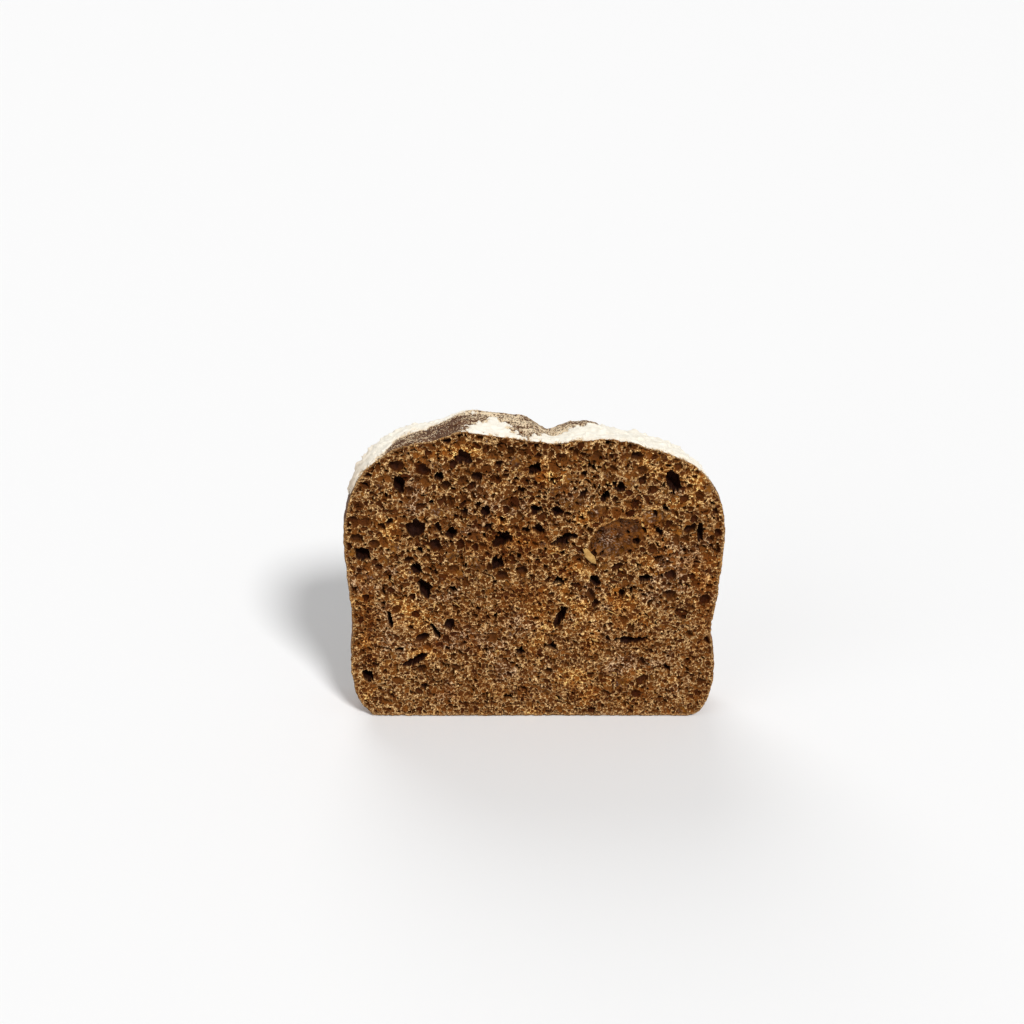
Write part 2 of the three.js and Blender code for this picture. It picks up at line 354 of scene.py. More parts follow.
def crust_relief(plain, random):
    """How far each point of the crust lies outside the plain form, and how deep its pits are."""
    rows, columns = plain.shape[:2]
    height = plain[..., 2]
    aloft = smoothstep(height, 58, 76)
    swell = 0.16 * aloft * layered(plain, 5, 11) + 0.05 * aloft * layered(plain, 1.1, 13)
    behind = np.linspace(0, 1, rows)[:, None]
    swell += LOBE_SWELL * aloft * behind * np.exp(-(((plain[..., 0] - LOBE_SWELL_AT) / 4) ** 2))
    swell += (1 - aloft) * (0.16 * layered(plain, 1.7, 17) + 0.05 * layered(plain, 0.7, 19, 2))
    blisters, pits = crust_marks((rows, columns), aloft, random)
    across = np.linspace(0, THICKNESS, rows)[:, None]
    near_cut = np.minimum(across, THICKNESS - across)
    pits = pits * (0.35 + 0.65 * smoothstep(near_cut, 0, 2))
    crumbly = 0.17 * noise(plain, 2.1, 29) + 0.16 * noise(plain, 0.9, 31)
    crumbly = crumbly * (1 - smoothstep(near_cut, 0, 1.4))
    relief = swell + blisters * aloft - pits + crumbly
    standing = 1 - smoothstep(height, 0.05, 1.2)
    under = pits + 0.05 * (1 + layered(plain, 1.5, 23)) + 1.5 * np.abs(crumbly)
    return relief * (1 - standing) - under * standing, pits


def cut_bow(x, z, seed):
    """How far the knife went inside the flat cut."""
    places = np.stack([x, z], -1)
    return 0.2 * (1 + layered(places, 17, seed)) + 0.06 * (1 + layered(places, 4, seed + 3))


def crust_grid(random):
    """Rows from the front cut to the back one, columns round the slice."""
    ring = even_outline(CRUST_STEP)
    rows = int(round(THICKNESS / CRUST_STEP)) + 1
    back = np.linspace(0, 1, rows)[:, None]
    plain = crust_place(ring[None, :, 0], ring[None, :, 1], back)
    plain[..., 0] += SHIFT_X
    out = outward(plain)
    relief, pits = crust_relief(plain, random)
    places = plain + out * relief[..., None]
    places[..., 2] = np.maximum(places[..., 2], 0)
    front = -HALF + cut_bow(places[..., 0], places[..., 2], FRONT_BOW)
    behind = HALF - cut_bow(places[..., 0], places[..., 2], BACK_BOW)
    places[..., 1] = front * (1 - back) + behind * back
    return {"plain": plain, "out": out, "places": places, "pits": pits, "ring": ring}


def arc_from_top(ring):
    """How far each column is along the outline from the top at x = 0, positive to the right."""
    top = int(np.argmin(np.abs(ring[:, 0]) + 10 * (ring[:, 1] < MIDDLE_Z)))
    count = len(ring)
    steps = (top - np.arange(count) + count // 2) % count - count // 2
    return steps * CRUST_STEP


def band_faces(rows, columns):
    """Quads of a band whose columns close on themselves, facing out."""
    at = np.arange(rows * columns).reshape(rows, columns)
    beside = np.roll(at, -1, 1)
    return np.stack([at[:-1], at[1:], beside[1:], beside[:-1]], -1).reshape(-1, 4)


def band_map(rows, columns, strips):
    """A map of the band as strips on top of each other, one place for each corner of band_faces."""
    row, column = np.mgrid[0 : rows - 1, 0:columns]
    wide = math.ceil(columns / strips)
    strip, within = column // wide, column % wide
    tall = 1 / max(strips * (rows + 2), wide + 2)
    corners = []
    for down, along in ((0, 0), (1, 0), (1, 1), (0, 1)):
        corners.append(np.stack([(within + along + 1), strip * (rows + 2) + row + down + 1], -1) * tall)
    return np.stack(corners, 2).reshape(-1, 2)


# ---- the open crumb of a cut ----
def inside_by(polygon, xs, zs, reach=3.0):
    """How far each grid point is inside the polygon, negative outside, and the polygon's nearest point.
    No distance is over reach."""
    nearest = np.full((len(zs), len(xs)), reach)
    foot = np.zeros((len(zs), len(xs), 2))
    within = np.zeros((len(zs), len(xs)), bool)
    for (x1, z1), (x2, z2) in zip(polygon, np.roll(polygon, -1, 0)):
        i = window(xs, min(x1, x2) - reach, max(x1, x2) + reach)
        j = window(zs, min(z1, z2) - reach, max(z1, z2) + reach)
        x, z = xs[None, i], zs[j, None]
        squared = max((x2 - x1) ** 2 + (z2 - z1) ** 2, 1e-12)
        along = np.clip(((x - x1) * (x2 - x1) + (z - z1) * (z2 - z1)) / squared, 0, 1)
        foot_x, foot_z = x1 + along * (x2 - x1), z1 + along * (z2 - z1)
        away = np.hypot(x - foot_x, z - foot_z)
        closer = away < nearest[j, i]
        nearest[j, i][closer] = away[closer]
        foot[j, i][closer] = np.stack([foot_x, foot_z], -1)[closer]
        if z1 != z2:
            crossed = np.flatnonzero((zs >= min(z1, z2)) & (zs < max(z1, z2)))
            at = x1 + (zs[crossed] - z1) / (z2 - z1) * (x2 - x1)
            within[crossed] ^= xs[None] > at[:, None]
    return np.where(within, nearest, -nearest), foot


class Crumb:
    """The air behind a cut, on a grid: how far inside which bubble each point is (best and owner), and
    the same for the next bubble (second and runner)."""

    def __init__(self, polygon, seed):
        low, high = polygon.min(0) - 3 * CUT_STEP, polygon.max(0) + 3 * CUT_STEP
        self.xs = np.arange(low[0], high[0], CUT_STEP)
        self.zs = np.arange(low[1], high[1], CUT_STEP)
        self.edge, self.foot = inside_by(polygon, self.xs, self.zs)
        self.flat = np.stack(np.meshgrid(self.xs, self.zs), -1)
        wander = [noise(self.flat, wide, seed + n) for n, wide in enumerate((1.6, 1.6, 0.6, 0.6))]
        self.bent = self.flat + 0.36 * np.stack(wander[:2], -1) + 0.2 * np.stack(wander[2:], -1)
        self.depths = (np.arange(ABOVE + BELOW) - ABOVE) * LAYER
        shape = (len(self.zs), len(self.xs), len(self.depths))
        self.best = np.full(shape, -9, np.float32)
        self.second = np.full(shape, -9, np.float32)
        self.owner = np.full(shape, -1, np.int32)
        self.runner = np.full(shape, -1, np.int32)
        self.radii, self.growths = [], []
        self.sunk = np.zeros(shape[:2])
        self.brow = np.zeros(shape[:2])
        self.glint = np.zeros(shape[:2])

    def add(self, x, z, depth, halves, turn=0.0, growth=1.0):
        """Adds a bubble. halves are its half sizes along x, z and into the slice."""
        number, least = len(self.radii), min(halves)
        self.radii.append(least)
        self.growths.append(growth)
        reach = max(halves[:2]) * growth + 0.8
        flat = window(self.zs, z - reach, z + reach), window(self.xs, x - reach, x + reach)
        deep = halves[2] * growth + 0.8
        part = (*flat, window(self.depths, depth - deep, depth + deep))
        along, beside = turned_by(turn, self.bent[flat] - (x, z))
        level = ((along / halves[0]) ** 2 + (beside / halves[1]) ** 2).astype(np.float32)
        down = ((self.depths[part[2]] - depth) / halves[2]).astype(np.float32)
        away = np.sqrt(level[..., None] + down**2)
        gap = least * (growth - away)
        best, second = self.best[part], self.second[part]
        owner, runner = self.owner[part], self.runner[part]
        wins = gap > best
        self.runner[part] = np.where(wins, owner, np.where(gap > second, number, runner))
        self.second[part] = np.where(wins, best, np.maximum(second, gap))
        self.owner[part] = np.where(wins, number, owner)
        self.best[part] = np.where(wins, gap, best)

    def fill(self, random, sizes, tries, deepest, chance=None):
        """Drops random bubbles wherever they fit between those that are there."""
        j = random.integers(0, len(self.zs), tries)
        i = random.integers(0, len(self.xs), tries)
        radii = sizes[0] + (sizes[1] - sizes[0]) * random.random(tries) ** 1.5
        depths = random.uniform(-0.9 * radii, deepest) + self.sunk[j, i]
        wanted = self.edge[j, i] > 0.1 + 0.85 * radii
        if chance:
            wanted &= random.random(tries) < chance(self.flat[j, i, 0], self.flat[j, i, 1])
        stretch = random.uniform(0.75, 1.35, tries)
        turns = random.uniform(-90, 90, tries)
        k = np.clip(np.round(depths / LAYER).astype(int) + ABOVE, 0, len(self.depths) - 1)
        for n in np.flatnonzero(wanted):
            radius, near = radii[n], self.owner[j[n], i[n], k[n]]
            grown = (self.growths[near] - 1) * self.radii[near] if near >= 0 else 0
            if self.best[j[n], i[n], k[n]] > grown - radius * (1 - OVERLAP):
                continue
            halves = radius * stretch[n], radius / stretch[n] ** 0.5, radius
            self.add(*self.bent[j[n], i[n]], depths[n], halves, turns[n], GROWTH)


def dense_patch(x, z):
    """From 0 to 1 where the crumb is denser and paler: low on the left, and at the right shoulder."""
    one = np.exp(-(((x + 33.8) / 5.5) ** 2) - ((z - 20.8) / 2.6) ** 2)
    other = np.exp(-(((x + 37.7) / 4.5) ** 2) - ((z - 32.3) / 3.2) ** 2)
    third = 0.6 * np.exp(-(((x - 44.5) / 2.5) ** 2) - ((z - 73) / 6) ** 2)
    return np.clip(one + other + third, 0, 1)


def sink_pocket(crumb, x, z, half_x, half_z, turn, deep):
    """A wide hollow in the cut, with a firm wall above it and a patch of painted glints."""
    along, beside = turned_by(turn, crumb.bent - (x + SHIFT_X, z))
    along, beside = along / half_x, beside / half_z
    away = np.hypot(along, beside)
    steep = 0.66 + 0.18 * np.clip(beside, -1, 1)
    crumb.sunk = np.maximum(crumb.sunk, deep * (1 - smoothstep(away, steep, 1.1)))
    crumb.glint = np.maximum(crumb.glint, np.exp(-((along + 0.3) ** 2 + (beside - 0.1) ** 2) / 0.14))
    brow = np.exp(-(((away - 1.12) * half_z / 0.3) ** 2)) * smoothstep(beside, 0, 0.5)
    crumb.brow = np.maximum(crumb.brow, brow)


def add_satellites(crumb, hole, random):
    """Small bubbles round the edge of a large hole."""
    x, z, half_x, half_z, turn, deep = hole
    c, s = slant(turn)
    for _ in range(SATELLITES):
        angle = random.uniform(0, 2 * math.pi)
        size = random.uniform(0.35, 0.65) * min(half_x, half_z)
        along, beside = half_x * math.cos(angle), half_z * math.sin(angle)
        at = x + SHIFT_X + c * along - s * beside, z + s * along + c * beside
        crumb.add(*at, random.uniform(0, 0.4), (size, size, 0.6 * deep))


def fill_crumb(crumb, holes, pockets, random):
    """Holes that catch the eye first, then ever smaller bubbles, the larger ones mostly high up."""
    for pocket in pockets:
        sink_pocket(crumb, *pocket)
    for x, z, half_x, half_z, turn, deep in holes:
        crumb.add(x + SHIFT_X, z, 0.15, (half_x, half_z, deep), turn, HOLE_GROWTH)
    for hole in holes:
        add_satellites(crumb, hole, random)
    high = lambda x, z: (0.12 + 0.88 * smoothstep(z, 34, 56)) * (1 - dense_patch(x, z))
    loose = lambda x, z: (0.45 + 0.55 * smoothstep(z, 24, 50)) * (1 - dense_patch(x, z))
    for (least, most, tries, deepest), chance in zip(BUBBLES, (high, high, loose, None, None)):
        crumb.fill(random, (least, most), tries, deepest, chance)


def tint_fields(flat, tints, seed):
    """How far the crumb's colour goes over to each of the tints at each point, from 0 to 1."""
    fields = {}
    for number, name in enumerate(("gold", "grey", "rust")):
        wander = 0.65 * noise(flat, 8, seed + 3 * number) + 0.5 * noise(flat, 3, seed + 1 + 3 * number)
        share = 0.8 * smoothstep(wander, 0.2, 0.8)
        ragged = 0.35 * noise(flat, 2.2, seed + 2 + 3 * number)
        for x, z, half_x, half_z in tints.get(name, []):
            away = np.hypot((flat[..., 0] - x - SHIFT_X) / half_x, (flat[..., 1] - z) / half_z)
            share = np.maximum(share, 1 - smoothstep(away + ragged, 0.3, 1.2))
        fields[name] = share
    return fields


def remaining_air(crumb, holes, seed):
    """How far inside the air each grid point is, with the walls that the knife left standing."""
    wall = 1 + 0.7 * noise(crumb.flat, 1.5, seed + 5) + 0.8 * dense_patch(*np.moveaxis(crumb.flat, -1, 0))
    wall = WALL * wall[..., None]
    air = np.minimum(crumb.best, (crumb.best - crumb.second) / 2 - wall / 2)
    met = (crumb.second > 0) & (crumb.runner >= 0)
    pair = np.sort(np.stack([crumb.owner[met], crumb.runner[met]], -1), -1)
    torn = np.zeros(crumb.best.shape, bool)
    torn[met] = hashed(pair, seed + 6) < np.where(pair[:, 0] < holes, TORN_AT_HOLES, TORN)
    air = np.where(torn, crumb.best, air)
    skin = 0.14 + 0.1 * noise(crumb.flat, 2.5, seed + 7)
    return np.minimum(air, np.minimum(crumb.edge - skin, 0.3 - crumb.brow)[..., None])


def open_surface(crumb, holes, seed):
    """How far inside a bubble each point of the cut is, how deep the surface is there, and whose it is."""
    air = remaining_air(crumb, holes, seed)
    cut = np.clip(crumb.sunk / LAYER + ABOVE, 0, len(crumb.depths) - 2)
    pick = lambda field, at: np.take_along_axis(field, at[..., None], -1)[..., 0]
    level = cut.astype(int)
    share = cut - level
    open_by = pick(air, level) * (1 - share) + pick(air, level + 1) * share
    solid = (air <= 0) & (np.arange(len(crumb.depths)) > cut[..., None])
    first = np.where(solid.any(-1), solid.argmax(-1), len(crumb.depths) - 1)
    ahead = np.maximum(first - 1, 0)
    a, b = pick(air, ahead), pick(air, first)
    share = np.clip(a / np.maximum(a - b, 1e-6), 0, 1)
    depth = np.where(open_by > 0, (ahead + share - ABOVE) * LAYER, crumb.sunk)
    return open_by, np.maximum(depth, crumb.sunk), np.where(open_by > 0, pick(crumb.owner, ahead), -1)


def cut_relief(crumb, holes, side, seed):
    """What a cut looks like at each grid point, above all how deep its surface is. A film is a thin skin
    that still closes a bubble."""
    open_by, depth, owner = open_surface(crumb, holes, seed)
    number = np.stack([owner, owner * 0 + side], -1)
    glassy = smoothstep(crumb.sunk, 0.3, 0.9)
    skinned = FILMS + 0.5 * smoothstep(crumb.sunk, 0.2, 0.8)
    level = crumb.sunk + 0.16 + 0.3 * hashed(number, seed + 32) + 0.5 * np.clip(open_by, 0, 0.6)
    level = level + 0.08 * noise(crumb.flat, 0.7, seed + 33)
    level = level + 0.25 * glassy * noise(crumb.flat, 1.3, seed + 34)
    in_hole = (owner >= 0) & (owner < (1 + SATELLITES) * holes)
    film = (open_by > 0) & ~in_hole & (hashed(number, seed + 31) < skinned) & (depth > level)
    depth = np.where(film, level, depth)
    rough = 0.2 + 0.16 * noise(crumb.flat, 3.6, seed + 14) + 0.1 * layered(crumb.flat, 1.3, seed + 11)
    rough += 0.1 * (1 - 0.8 * glassy) * noise(crumb.flat, 0.5, seed + 12)
    rough = np.maximum(rough, 0) * smoothstep(crumb.edge, 0, 0.8)
    grain = np.where(film, 0.01, 0.05) * noise(crumb.flat, 0.5, seed + 13)
    inner = np.maximum(depth + grain, crumb.sunk + rough + 0.08)
    return {
        "open_by": open_by,
        "depth": np.where(open_by > 0, inner, crumb.sunk + rough),
        "film": film,
        "glassy": glassy,
        "in_hole": in_hole,
        "tone": hashed(number, seed + 21),
    }


def smooth_brinks(crumb, open_by):
    """The grid's points in the cut, moved so that the wall tops' outlines run smoothly through them."""
    slope = np.stack(np.gradient(open_by, CUT_STEP), -1)[..., ::-1]
    shift = -open_by[..., None] * slope / np.maximum((slope**2).sum(-1, keepdims=True), 0.2)
    shift = np.clip(shift, -0.42 * CUT_STEP, 0.42 * CUT_STEP)
    shift[(np.abs(open_by) > 0.7 * CUT_STEP) | (crumb.edge < 0.5)] = 0
    return crumb.flat + shift


def close_block(places, ends, side):
    """The places of the whole block, and the faces of its hidden sides and back."""
    ring = np.unique(ends)
    middle = np.array([0, MIDDLE_Z])
    inward = middle - places[ring][:, [0, 2]]
    inward /= np.linalg.norm(inward, axis=1, keepdims=True)
    levels = []
    for inset, deep in BLOCK_RINGS:
        moved = places[ring].copy()
        moved[:, [0, 2]] += inset * inward
        moved[:, 1] = side * (HALF - deep)
        levels.append(moved)
    total = len(places)
    lookup = np.full(total, -1)
    lookup[ring] = np.arange(len(ring))
    p, q = ends[:, 0], ends[:, 1]
    p1, q1 = total + lookup[p], total + lookup[q]
    p2, q2 = p1 + len(ring), q1 + len(ring)
    centre = np.full(len(p), total + 2 * len(ring))
    faces = np.concatenate([
        np.stack([p, q, q1, p1], -1),
        np.stack([p1, q1, q2, p2], -1),
        np.stack([p2, q2, centre, centre * 0 - 1], -1),
    ])
    return np.concatenate([places, *levels, [[middle[0], side * 0.2, middle[1]]]]), faces


def flipped(faces):
    """The same faces, seen from their other side. The last corner of a triangle stays -1."""
    other = faces[:, ::-1].copy()
    triangles = faces[:, 3] < 0
    other[triangles] = np.roll(other[triangles], -1, 1)
    return other


def cut_piece(name, polygon, holes, pockets, tints, side, seed, bow):
    """A closed block whose outer face is the open crumb. side is -1 for the front cut, 1 for the back."""
    crumb = Crumb(polygon, seed)
    fill_crumb(crumb, holes, pockets, np.random.default_rng(seed))
    look = cut_relief(crumb, len(holes), side, seed)
    flat = smooth_brinks(crumb, look["open_by"])
    kept = crumb.edge > 0.35 * CUT_STEP
    quads = kept[:-1, :-1] & kept[1:, :-1] & kept[:-1, 1:] & kept[1:, 1:]
    around = quads_around(quads)
    used, rim = around > 0, (around > 0) & (around < 4)
    flat[rim] = crumb.foot[rim]
    depth = np.where(rim, 0, look["depth"])
    y = side * (HALF - cut_bow(flat[..., 0], flat[..., 1], bow) - depth)
    places = np.stack([flat[..., 0], y, flat[..., 1]], -1)[used]

    index = numbered(used)
    j, i = np.nonzero(quads)
    corners = ((0, 0), (1, 0), (1, 1), (0, 1))
    chart = np.stack([np.stack([i + a, j + b], -1) for a, b in corners], 1) / max(used.shape)
    all_places, hidden = close_block(places, border_edges(quads, index), side)
    faces = np.concatenate([np.stack([index[j + b, i + a] for a, b in corners], -1), hidden])
    if side > 0:
        faces, chart = flipped(faces), chart[:, ::-1]
    piece = mesh_object(name, all_places, faces)
    add_map(piece, np.concatenate([chart.reshape(-1, 2), np.full(((hidden >= 0).sum(), 2), HIDDEN)]))

    tail = np.zeros(len(all_places) - len(places))
    pad = lambda grid: np.concatenate([grid[used], tail])
    add_values(
        piece,
        # deep is made larger in the large holes, so that the pores' painted shade darkens them more
        deep=pad(depth * (1 + 1.2 * look["in_hole"])),
        top=pad(np.where((look["open_by"] > 0) & ~rim, 0, 1 - 0.8 * look["glassy"])),
        tone=pad(look["tone"]),
        film=pad(np.maximum(look["film"], 0.9 * look["glassy"] * ~look["in_hole"])),
        glint=pad(crumb.glint),
        brim=pad(1 - smoothstep(crumb.edge, 0.15, 0.55)),
        **{name: pad(field) for name, field in tint_fields(crumb.flat, tints, seed + 41).items()},
    )
    return piece


# ---- the crust as a piece ----
def crust_lips(edge, out, way):
    """Two rings that run from the crust's edge at a cut into the crumb. way is -1 or 1 along y."""
    lips = []
    for inset, deep in CRUST_LIPS:
        lip = edge - out * inset
        lip[:, 1] += way * deep
        lip[:, 2] = np.maximum(lip[:, 2], 0.1)
        lips.append(lip)
    return lips


def crust_piece(grid):
    """A closed band: the crust's outer side, a lip inside the crumb of each cut, and a plain inner side."""
    places, out = grid["places"], grid["out"]
    rows, columns = places.shape[:2]
    before, behind = crust_lips(places[0], out[0], 1), crust_lips(places[-1], out[-1], -1)
    whole = np.stack([*before[::-1], *places, *behind])
    at = np.arange(columns)
    beside, last = np.roll(at, -1), (len(whole) - 1) * columns
    closing = np.stack([last + at, at, beside, last + beside], -1)
    faces = np.concatenate([band_faces(len(whole), columns), closing])
    piece = mesh_object("crust", whole.reshape(-1, 3), faces)
    flat = band_map(len(whole), columns, 4)
    add_map(piece, np.concatenate([flat, np.full((4 * columns, 2), 0.998)]))
    lips = len(CRUST_LIPS)
    widen = lambda field: np.pad(field, ((lips, lips), (0, 0)), mode="edge").ravel()
    across = np.abs(np.linspace(-HALF, HALF, rows))[:, None] + np.zeros((rows, columns))
    add_values(
        piece,
        pit=widen(grid["pits"]),
        high=widen(grid["plain"][..., 2]),
        dust=widen(grid["dust"]),
        across=widen(across),
    )
    return piece


# ---- flour ----
# each stripe: place along the outline from the top's middle, and where it starts and ends across
STRIPES = [
    [(-63, 5, 9.5), (-57, -5, 9.5), (-51, -7.6, 9.5), (-46, -8.8, 9.5), (-42, -7, 9.5), (-38, -0.5, 9.5),
     (-31, 2.8, 9.5), (-26, 4.8, 9.4), (-22, 7, 9.2), (-18, 8.6, 8.8)],
    [(-18, -9, -8.4), (-16, -9, -5.5), (-14.6, -9, -1.5), (-12.6, -9, 1.6), (-10, -9, 2), (-8.2, -9, 0.2),
     (-6.4, -9, -4.5), (-3, -9, -7.9)],
    [(-1, -9, -7.8), (5, -9, -1.5), (12, -9, 1.6), (17, -9, 3.5), (20, -9, 9.5), (46, -9, 9.5),
     (51, -5, 9.5)],
]
FLOUR = 0.24  # least thickness where the flour lies full
SUNK = 0.14  # how far its edge goes under the crust's surface
FLOUR_ENDS = (-72, 56)  # along the outline
DUST_TRIES = 150000


def into_flour(u, y):
    """How far a place of the crust is inside the flour, negative outside."""
    deepest = np.full(np.broadcast(u, y).shape, -30.0)
    for stripe in STRIPES:
        at, start, end = np.array(stripe).T
        inside = np.minimum(y - np.interp(u, at, start), np.interp(u, at, end) - y)
        beyond = np.maximum(at[0] - u, u - at[-1])
        deepest = np.maximum(deepest, np.minimum(inside, -beyond))
    return deepest


def flour_fields(grid):
    """u is each crust point's place along the outline and y across it, inside how far it is inside the
    ragged flour, and dust how densely loose flour lies there."""
    rows = grid["plain"].shape[0]
    u = arc_from_top(grid["ring"])[None] + np.zeros((rows, 1))
    y = np.linspace(-HALF, HALF, rows)[:, None] + 0 * u
    flat = np.stack([u, y], -1)
    inside = into_flour(u, y)
    fray = 1.7 * noise(flat, 3.4, 51) + 1.5 * noise(flat, 1.5, 52) + 1.3 * noise(flat, 0.55, 53)
    streaks = noise(np.stack([u / 2.5, y], -1), 1.3, 54) * 0.5 + 0.5
    aloft = smoothstep(grid["plain"][..., 2], 66, 80)
    near = 0.85 * np.exp(-np.maximum(-inside, 0) / 2.2)
    dusty = smoothstep(u, -27, -12) * (1 - smoothstep(u, 14, 27)) * (0.2 + 0.65 * streaks)
    ridge = smoothstep(u, -34, -24) * (1 - smoothstep(u, -6, 2)) * smoothstep(y, 0.5, 6)
    dusty = np.maximum(dusty, (0.42 + 0.4 * streaks) * ridge)
    dusty = np.maximum(dusty, (0.02 + 0.42 * streaks) * (1 - smoothstep(u, -27, -20)))
    fray = fray * (1 + 0.9 * smoothstep(u, -24, -17) * (1 - smoothstep(u, 6, 14)))
    fray = np.where((u > 13) & (u < 26), np.maximum(fray, -0.3), fray)
    ragged = inside + fray * (1 - smoothstep(inside, 1.2, 4.2))
    dust = aloft * np.clip(np.maximum(near, dusty) + 0.1, 0, 1)
    return {"u": u, "y": y, "inside": ragged, "dust": dust}


def closed_sheet(name, top, bottom, quads, flat):
    """A closed sheet over the kept quads of a grid, from its two sides, and the grid points it uses."""
    used = quads_around(quads) > 0
    index = numbered(used)
    under = int(used.sum())
    j, i = np.nonzero(quads)
    upper = np.stack([index[j, i], index[j + 1, i], index[j + 1, i + 1], index[j, i + 1]], -1)
    q, p = border_edges(quads, index).T
    sides = np.stack([p, q, q + under, p + under], -1)
    faces = np.concatenate([upper, upper[:, ::-1] + under, sides])
    piece = mesh_object(name, np.concatenate([top[used], bottom[used]]), faces)
    add_map(piece, np.concatenate([flat[used], flat[used] * 0 + HIDDEN])[faces.ravel()])
    return piece, used


def flour_piece(grid):
    """The flour that lies full, as a lumpy sheet whose edge runs under the crust's surface."""
    u = grid["u"][0]
    order = np.argsort(u)
    order = order[(u[order] > FLOUR_ENDS[0]) & (u[order] < FLOUR_ENDS[1])][::-1]
    places, out, inside, u, y = (grid[name][:, order] for name in ("places", "out", "inside", "u", "y"))
    flat = np.stack([u, y], -1)
    lumps = 0.7 * np.maximum(layered(flat, 3.2, 61), 0) + 0.6 * np.maximum(noise(flat, 1.5, 62), 0) ** 1.5
    lumps += 0.5 * smoothstep(y, 5, 8) * np.maximum(noise(flat, 1.1, 64), 0)
    grain = 0.2 * np.maximum(noise(flat, 0.6, 63), 0)
    thick = smoothstep(inside, 0, 2.2) * (FLOUR + lumps) + smoothstep(inside, 0, 0.5) * (0.06 + grain)
    thick = np.where(inside > 0, thick, -SUNK)
    covered = inside > 0
    quads = covered[:-1, :-1] | covered[1:, :-1] | covered[:-1, 1:] | covered[1:, 1:]
    under = np.minimum(0.4, 0.06 + HALF - np.abs(y))
    span = u.max() - u.min() + 1
    chart = np.stack([(u - u.min()) / span, (y + HALF) / span], -1)
    top, bottom = places + out * thick[..., None], places - out * under[..., None]
    piece, used = closed_sheet("flour", top, bottom, quads, chart)
    # rises where the flour thins at its edge, and on the left shoulder as painted shade that dims and warms
    # the flour there
    thin = np.maximum(smoothstep(-u, 40, 60), 0.6 * (1 - smoothstep(inside, 0.2, 1.4)))
    add_values(piece, thin=np.tile(thin[used], 2))
    return piece


def random_turns(count, random):
    """Random rotation matrices."""
    q = random.normal(size=(count, 4))
    w, x, y, z = (q / np.linalg.norm(q, axis=1, keepdims=True)).T
    return np.stack([
        np.stack([1 - 2 * (y * y + z * z), 2 * (x * y - z * w), 2 * (x * z + y * w)], -1),
        np.stack([2 * (x * y + z * w), 1 - 2 * (x * x + z * z), 2 * (y * z - x * w)], -1),
        np.stack([2 * (x * z - y * w), 2 * (y * z + x * w), 1 - 2 * (x * x + y * y)], -1),
    ], 1)


def grains(name, middles, sizes, random):
    """Small uneven lumps at middles."""
    count = len(middles)
    tip = np.array([(1, 0, 0), (-1, 0, 0), (0, 1, 0), (0, -1, 0), (0, 0, 1), (0, 0, -1)], float)
    upper = [(0, 2, 4), (2, 1, 4), (1, 3, 4), (3, 0, 4)]
    lower = [(2, 0, 5), (1, 2, 5), (3, 1, 5), (0, 3, 5)]
    lumps = tip[None] * random.uniform(0.6, 1.25, (count, 6, 1))
    lumps = np.einsum("nij,nkj->nki", random_turns(count, random), lumps) * sizes[:, None, None]
    places = (middles[:, None] + lumps).reshape(-1, 3)
    places[:, 2] = np.maximum(places[:, 2], 0)
    faces = (np.array(upper + lower)[None] + 6 * np.arange(count)[:, None, None]).reshape(-1, 3)
    faces = np.concatenate([faces, np.full((len(faces), 1), -1)], 1)
    return mesh_object(name, places, faces)


def flour_dust(grid, random):
    """Loose flour on the crust, thickest beside the stripes."""
    rows, columns = grid["dust"].shape
    row, column = random.uniform(0, rows - 1, DUST_TRIES), random.integers(0, columns, DUST_TRIES)
    row = np.round(row).astype(int)
    inside, dust = grid["inside"][row, column], grid["dust"][row, column]
    taken = random.random(DUST_TRIES) < np.where(inside > 0.3, 0.25, 0.8 * dust**1.4)
    row, column, on_flour = row[taken], column[taken], inside[taken] > 0
    sizes = 0.05 + 0.15 * random.random(taken.sum()) ** 2.5
    jitter = random.uniform(-0.5, 0.5, (taken.sum(), 3)) * CRUST_STEP
    out = grid["out"][row, column]
    middles = grid["places"][row, column] + jitter * (1 - np.abs(out))
    middles = middles + out * (on_flour * FLOUR * 0.9)[:, None]
    middles[:, 1] = np.clip(middles[:, 1], -HALF, HALF)
    piece = grains("flour_dust", middles, sizes, random)
    add_values(piece, pale=np.repeat(on_flour, 6))
    return piece


# ---- bran ----
def bran_piece(places, sizes, ways, random):
    """Thin bent flakes. ways holds each flake's own three directions."""
    sides = 14
    angle = np.arange(sides) / sides * 2 * math.pi
    count = len(places)
    reach = random.uniform(0.75, 1.15, (count, sides))
    waist = 1 - 0.55 * np.cos(angle) ** 4
    bend = 0.25 * np.cos(2 * angle) + 0 * reach
    ring = np.stack([np.cos(angle) * reach, np.sin(angle) * reach * waist, bend], -1)
    half = np.array([0, 0, 0.5])
    tip = np.zeros((count, 1, 3)) + half * 1.3
    corners = np.concatenate([ring + half, ring - half, tip, -tip], 1)
    corners = np.einsum("nij,nkj->nki", ways, corners * sizes[:, None, :])
    at = np.arange(sides)
    beside, none = np.roll(at, -1), np.full(sides, -1)
    faces = np.concatenate([
        np.stack([at, beside, np.full(sides, 2 * sides), none], -1),
        np.stack([beside + sides, at + sides, np.full(sides, 2 * sides + 1), none], -1),
        np.stack([at, at + sides, beside + sides, beside], -1),
    ])
    shift = corners.shape[1] * np.arange(count)[:, None, None]
    faces = np.where(faces[None] < 0, -1, faces[None] + shift).reshape(-1, 4)
    return mesh_object("bran", (places[:, None] + corners).reshape(-1, 3), faces)


# x, z, half length, half width, angle in degrees
FRONT_FLAKES = [
    (15.4, 52.4, 3.3, 1.05, 122), (-21.6, 37.1, 1.5, 0.16, -40), (22, 34.5, 2.2, 0.14, -28),
    (17.5, 25.5, 1.2, 0.4, -20),
]
FLAKES_TRIED = 70  # in each cut


